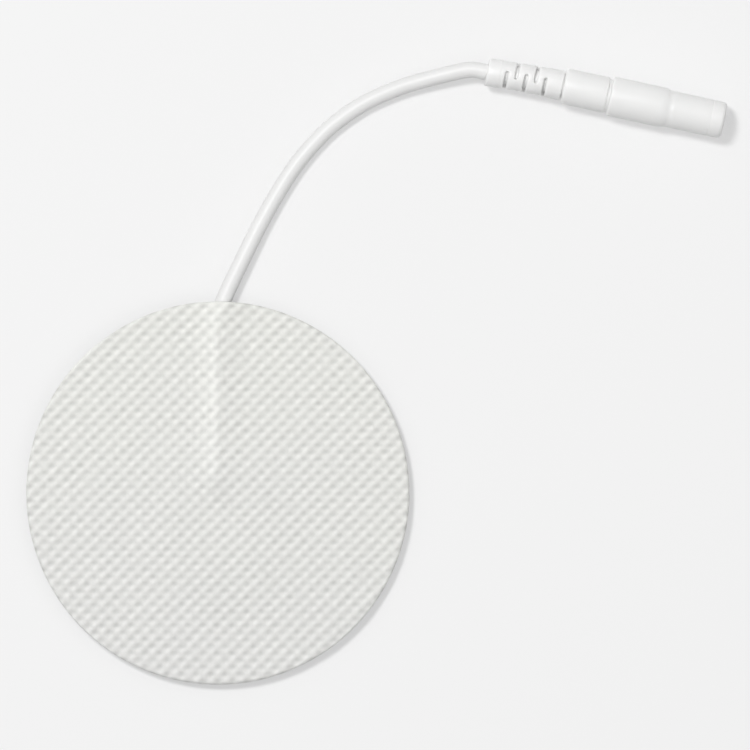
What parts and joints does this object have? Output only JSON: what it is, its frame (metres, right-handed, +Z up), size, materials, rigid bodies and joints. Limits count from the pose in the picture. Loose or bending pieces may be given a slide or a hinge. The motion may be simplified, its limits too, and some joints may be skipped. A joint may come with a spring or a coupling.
{
  "type": "tens electrode pad",
  "caption": "Round self-adhesive skin electrode of woven cloth, carbon film and gel, with a short white lead that ends in a moulded pin socket.",
  "frame": {"origin": "centre of the pad's gel face, on the surface that it lies on", "axes": "+Z up through the cloth, +Y from the pad's centre towards the place where the lead leaves the rim"},
  "size_m": [0.0914, 0.0817, 0.0052],
  "materials": {
    "woven_cloth": "off-white woven cloth with staggered raised dots",
    "carbon_film": "dark carbon-filled film",
    "clear_gel": "clear tacky gel",
    "white_lead_jacket": "smooth white flexible jacket",
    "white_moulding": "moulded white, satin",
    "nickelled_contact": "nickel plated",
    "tinned_strands": "tinned"
  },
  "bodies": {
    "root": {"fabric_backing": "woven_cloth", "carbon_film": "carbon_film", "hydrogel": "clear_gel", "lead_pad_end": "white_lead_jacket", "conductor_fan": "tinned_strands", "lead_cord": "white_lead_jacket", "connector_sleeve": "white_moulding", "contact_socket": "nickelled_contact", "lead_connector_end": "white_lead_jacket", "conductor_crimped_end": "tinned_strands"}
  },
  "joints": []
}
